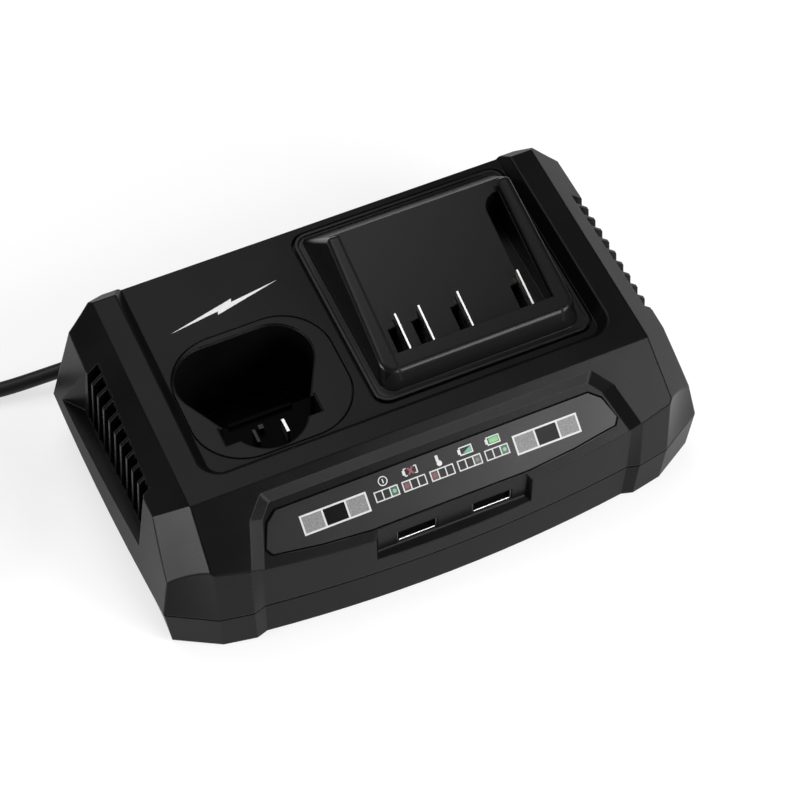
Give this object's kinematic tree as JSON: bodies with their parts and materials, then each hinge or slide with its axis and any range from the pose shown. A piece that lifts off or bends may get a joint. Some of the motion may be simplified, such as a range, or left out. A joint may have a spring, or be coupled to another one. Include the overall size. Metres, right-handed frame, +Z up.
{
  "type": "power tool battery charger",
  "caption": "Low mains charger with a lobed stick-battery socket, an inclined slide-on battery dock, a sloped indicator panel, front USB outlets and louvred side vents.",
  "frame": {"origin": "on the table under the middle of the body, the cord left out", "axes": "+X to the right seen from the front, +Y to the rear, +Z up; the indicator panel and the USB outlets face -Y"},
  "size_m": [0.3187, 0.1287, 0.0693],
  "materials": {
    "shell_black": "fine-textured black ABS",
    "dock_black": "fine-textured black nylon",
    "socket_black": "fine-textured black nylon",
    "terminal_black": "smooth black nylon",
    "contact_metal": "tin-plated spring contact",
    "overlay_black": "satin printed film",
    "window_grey": "smoked translucent window",
    "light_guide": "clear acrylic",
    "led_body": "pale LED body",
    "board_green": "solder-masked circuit board",
    "usb_steel": "nickel-plated steel",
    "usb_white": "white moulded contact carrier",
    "ferrite": "sintered ferrite",
    "winding_tape": "yellow insulating tape",
    "carrier_black": "moulded carrier",
    "capacitor_sleeve": "shrink sleeve",
    "copper_winding": "enamelled copper",
    "fuse_glass": "ceramic fuse in clips",
    "sink_aluminium": "plain aluminium sheet",
    "transistor_black": "moulded epoxy",
    "screw_zinc": "zinc-plated steel",
    "foot_rubber": "soft black rubber",
    "cord_pvc": "matt black PVC",
    "plug_black": "black moulded PVC",
    "pin_brass": "nickel-plated brass"
  },
  "bodies": {
    "root": {"upper_shell": "shell_black", "lower_shell": "shell_black", "slide_dock": "dock_black", "slide_blades": "contact_metal", "slide_terminal_block": "terminal_black", "socket_cup": "socket_black", "socket_blades": "contact_metal", "socket_terminal_block": "terminal_black", "indicator_overlay": "overlay_black", "indicator_window_left": "window_grey", "indicator_window_right": "window_grey", "light_guides": "light_guide", "status_leds": "led_body", "display_board": "board_green", "usb_board": "board_green", "usb_shell_left": "usb_steel", "usb_shell_right": "usb_steel", "usb_tongue_left": "usb_white", "usb_tongue_right": "usb_white", "main_board": "board_green", "transformer_carrier": "carrier_black", "transformer_core": "ferrite", "transformer_winding": "winding_tape", "bulk_capacitor": "capacitor_sleeve", "output_capacitors": "capacitor_sleeve", "line_choke": "copper_winding", "line_fuse": "fuse_glass", "heat_sink": "sink_aluminium", "power_transistors": "transistor_black", "case_screws": "screw_zinc", "board_screws": "screw_zinc", "rubber_feet": "foot_rubber", "cord_gland": "cord_pvc", "mains_cord": "cord_pvc", "cord_coil": "cord_pvc", "cord_tie": "cord_pvc", "mains_plug": "plug_black", "plug_pins": "pin_brass"}
  },
  "joints": []
}
